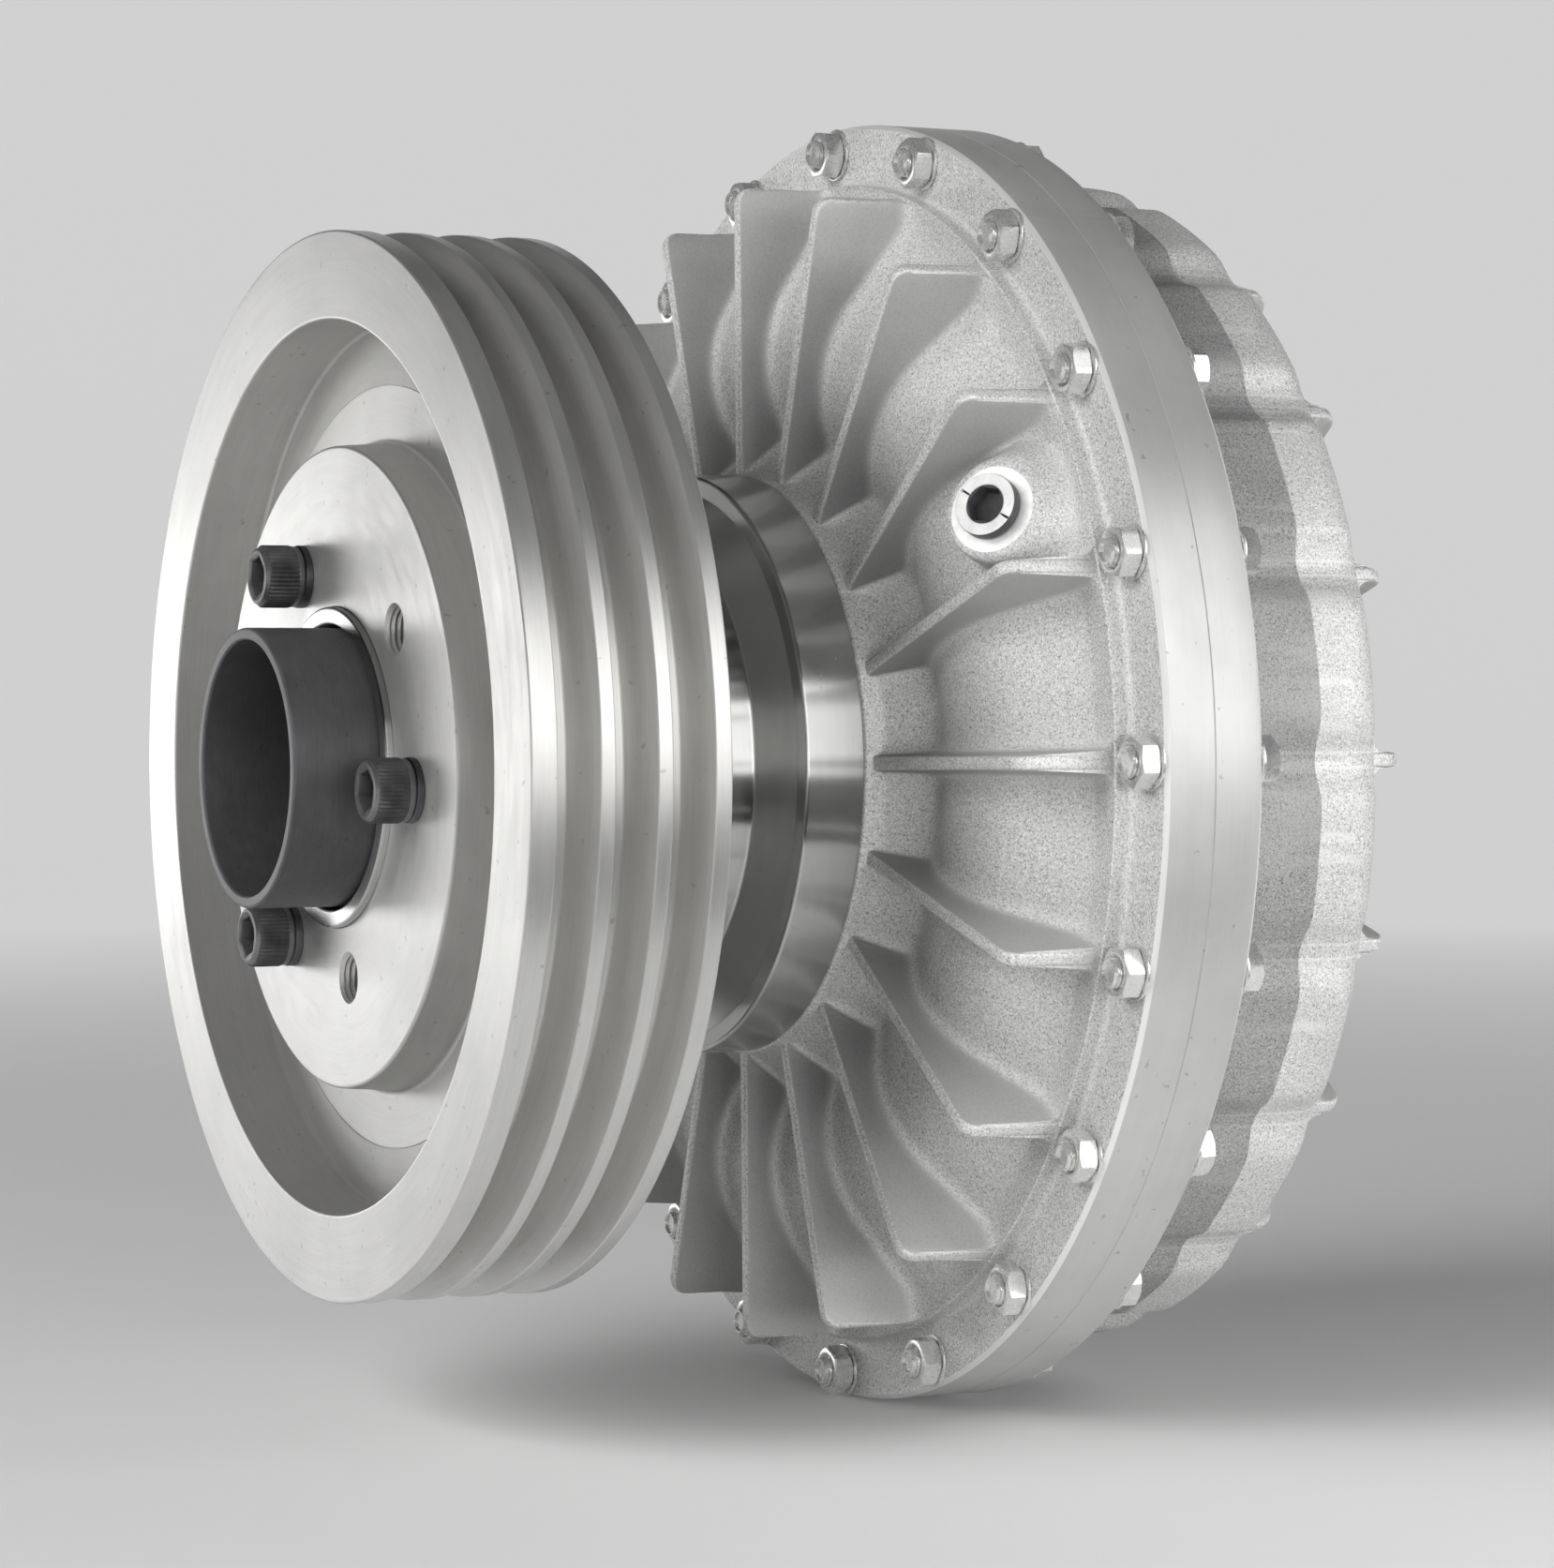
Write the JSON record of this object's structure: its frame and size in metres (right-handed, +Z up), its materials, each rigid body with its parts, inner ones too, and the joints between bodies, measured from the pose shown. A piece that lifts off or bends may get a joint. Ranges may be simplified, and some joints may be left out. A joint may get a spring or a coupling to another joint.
{
  "type": "fluid coupling with belt pulley",
  "caption": "Fluid coupling: finned split aluminium housing with vaned wheels inside, a keyed hollow shaft and a grooved V-belt pulley on a steel neck.",
  "frame": {"origin": "on the shaft axis, in the joint plane of the two shells, inside the motor bore's wall", "axes": "+Y along the shaft axis from the pulley end towards the motor, +Z up"},
  "size_m": [0.44, 0.3367, 0.44],
  "materials": {
    "cast_aluminium": "sand cast, light grey, fine grain",
    "wheel_aluminium": "cast, unpainted",
    "turned_iron": "turned bright, fine circular marks",
    "turned_steel": "turned and polished",
    "dark_steel": "black oxide, bright end rim",
    "black_screw_steel": "black oxide",
    "zinc_steel": "bright zinc plated",
    "bearing_steel": "ground",
    "cage_brass": "machined",
    "spring_steel": "phosphated",
    "seal_rubber": "moulded",
    "plug_steel": "black oxide, bright face",
    "seal_metal": "soft annealed ring"
  },
  "bodies": {
    "shaft": {"hollow_shaft": "dark_steel", "inner_wheel": "wheel_aluminium", "wheel_screws": "black_screw_steel", "spacer_sleeve": "turned_steel", "front_inner_ring": "bearing_steel", "rear_inner_ring": "bearing_steel", "shaft_clip_front": "spring_steel", "shaft_clip_rear": "spring_steel"},
    "housing": {"front_shell": "cast_aluminium", "rear_shell": "cast_aluminium", "joint_seal": "seal_rubber", "flange_bolts": "zinc_steel", "flange_nuts": "zinc_steel", "front_washers": "zinc_steel", "rear_washers": "zinc_steel", "filler_plugs": "plug_steel", "filler_plug_seals": "seal_metal", "fusible_plugs": "plug_steel", "fusible_plug_seals": "seal_metal", "neck_spool": "turned_steel", "spool_screws": "black_screw_steel", "spool_seal": "seal_rubber", "v_belt_pulley": "turned_iron", "pulley_screws": "black_screw_steel", "pulley_lock_washers": "black_screw_steel", "front_outer_ring": "bearing_steel", "rear_outer_ring": "bearing_steel", "spool_clip": "spring_steel", "front_oil_seal": "seal_rubber", "rear_oil_seal": "seal_rubber", "rear_bearing_cover": "cast_aluminium", "cover_screws": "black_screw_steel"},
    "front_roller_set": {"front_rollers": "bearing_steel", "front_cage": "cage_brass"},
    "rear_ball_set": {"rear_balls": "bearing_steel", "rear_cage": "cage_brass"}
  },
  "joints": [
    {"name": "housing_spin", "type": "hinge", "parent": "shaft", "child": "housing", "pos_m": [0, 0, 0], "axis": [0, 1, 0], "continuous": true},
    {"name": "front_roller_set_spin", "type": "hinge", "parent": "shaft", "child": "front_roller_set", "pos_m": [0, -0.139, 0], "axis": [0, 1, 0], "continuous": true},
    {"name": "rear_ball_set_spin", "type": "hinge", "parent": "shaft", "child": "rear_ball_set", "pos_m": [0, 0.073, 0], "axis": [0, 1, 0], "continuous": true}
  ],
  "couplings": [
    {"joint": "front_roller_set_spin", "follows": "housing_spin", "ratio": 0.5422},
    {"joint": "rear_ball_set_spin", "follows": "housing_spin", "ratio": 0.5444}
  ]
}
